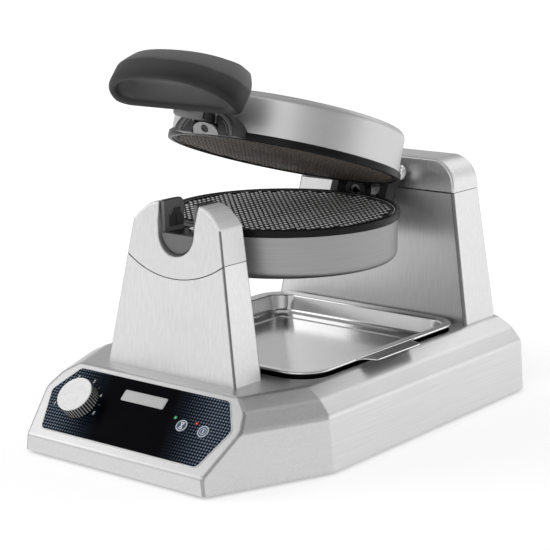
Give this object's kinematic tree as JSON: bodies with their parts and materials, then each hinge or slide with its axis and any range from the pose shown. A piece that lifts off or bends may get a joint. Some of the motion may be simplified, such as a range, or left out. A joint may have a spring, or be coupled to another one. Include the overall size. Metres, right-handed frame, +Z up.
{
  "type": "waffle cone maker",
  "caption": "Countertop waffle cone baker: hinged round grid plates turning between two steel towers over a drip tray, with a loop handle and sloped controls.",
  "frame": {"origin": "on the surface it stands on, under the centre of the base", "axes": "+Z up, +Y from the control panel to the rear tower, +X to the right of a user who faces the panel"},
  "size_m": [0.2882, 0.413, 0.3373],
  "materials": {
    "brushed_steel": "brushed",
    "plated_sheet": "zinc-plated satin",
    "polished_steel": "polished",
    "dark_well": "satin",
    "rubber": "matte",
    "panel_black": "satin printed overlay",
    "knob_black": "ribbed, satin",
    "knob_white": "matte",
    "lens_green": "clear",
    "lens_red": "clear",
    "board_green": "solder resist",
    "black_plastic": "matte",
    "relay_blue": "satin",
    "liner_grey": "satin",
    "dark_casting": "satin",
    "bronze": "machined",
    "grid_black": "non-stick coating, satin",
    "heater_sheath": "oxidised",
    "black_screw": "black oxide",
    "handle_grey": "matte"
  },
  "bodies": {
    "base": {"base_shell": "brushed_steel", "tray_well": "dark_well", "bottom_plate": "dark_well", "rubber_feet": "rubber", "bottom_screws": "polished_steel", "control_panel": "panel_black", "thermostat_body": "plated_sheet", "start_lamp": "lens_green", "standby_lamp": "lens_red", "control_board": "board_green", "key_switches": "black_plastic", "buzzer": "black_plastic", "relay": "relay_blue", "terminal_block": "black_plastic", "cable_bush": "rubber", "front_tower_cover": "brushed_steel", "front_tower_cap": "brushed_steel", "journal_cradle": "liner_grey", "latch_keeper": "black_plastic", "front_bracket": "plated_sheet", "rear_tower_cover": "brushed_steel", "rear_tower_cap": "brushed_steel", "rear_bracket": "plated_sheet", "bearing_housing": "dark_casting", "bearing_bush": "bronze", "tower_screws": "polished_steel"},
    "knob": {"thermostat_knob": "knob_black", "knob_cap": "knob_white", "thermostat_shaft": "polished_steel"},
    "start_key": {"start_button": "polished_steel"},
    "standby_key": {"standby_button": "polished_steel"},
    "rotor": {"rotor_shaft": "polished_steel", "shaft_ring": "polished_steel", "lower_hinge_bracket": "dark_casting", "hinge_pin": "polished_steel", "hinge_screws": "polished_steel", "lower_bowl": "brushed_steel", "lower_rim": "dark_casting", "lower_grid": "grid_black", "lower_heater": "heater_sheath", "lower_collar": "dark_casting", "lower_journal": "dark_casting", "lower_neck_screw": "polished_steel"},
    "lid": {"upper_hinge_bracket": "dark_casting", "upper_bowl": "brushed_steel", "upper_rim": "dark_casting", "upper_grid": "grid_black", "upper_heater": "heater_sheath", "upper_collar": "dark_casting", "neck_plate": "polished_steel", "neck_screw": "black_screw", "handle_arm": "dark_casting", "handle_loop": "handle_grey"},
    "tray": {"drip_tray": "polished_steel"}
  },
  "joints": [
    {"name": "plate_turn", "type": "hinge", "parent": "base", "child": "rotor", "pos_m": [0, 0.0215, 0.1865], "axis": [0, 1, 0], "range_deg": [-10, 10]},
    {"name": "lid_hinge", "type": "hinge", "parent": "rotor", "child": "lid", "pos_m": [0, 0.152, 0.2039], "axis": [-1, 0, 0], "range_deg": [-18.5, 76.5]},
    {"name": "knob_turn", "type": "hinge", "parent": "base", "child": "knob", "pos_m": [-0.06, -0.17661, 0.04318], "axis": [0, -0.6644, 0.7473], "range_deg": [-110, 110]},
    {"name": "start_press", "type": "slide", "parent": "base", "child": "start_key", "axis": [0, 0.6644, -0.7473], "range_m": [0, 0.0009], "stiffness_N_per_m": 1500},
    {"name": "standby_press", "type": "slide", "parent": "base", "child": "standby_key", "axis": [0, 0.6644, -0.7473], "range_m": [0, 0.0009], "stiffness_N_per_m": 1500},
    {"name": "tray_lift", "type": "slide", "parent": "base", "child": "tray", "axis": [0, 0, 1], "range_m": [0, 0.04]}
  ]
}
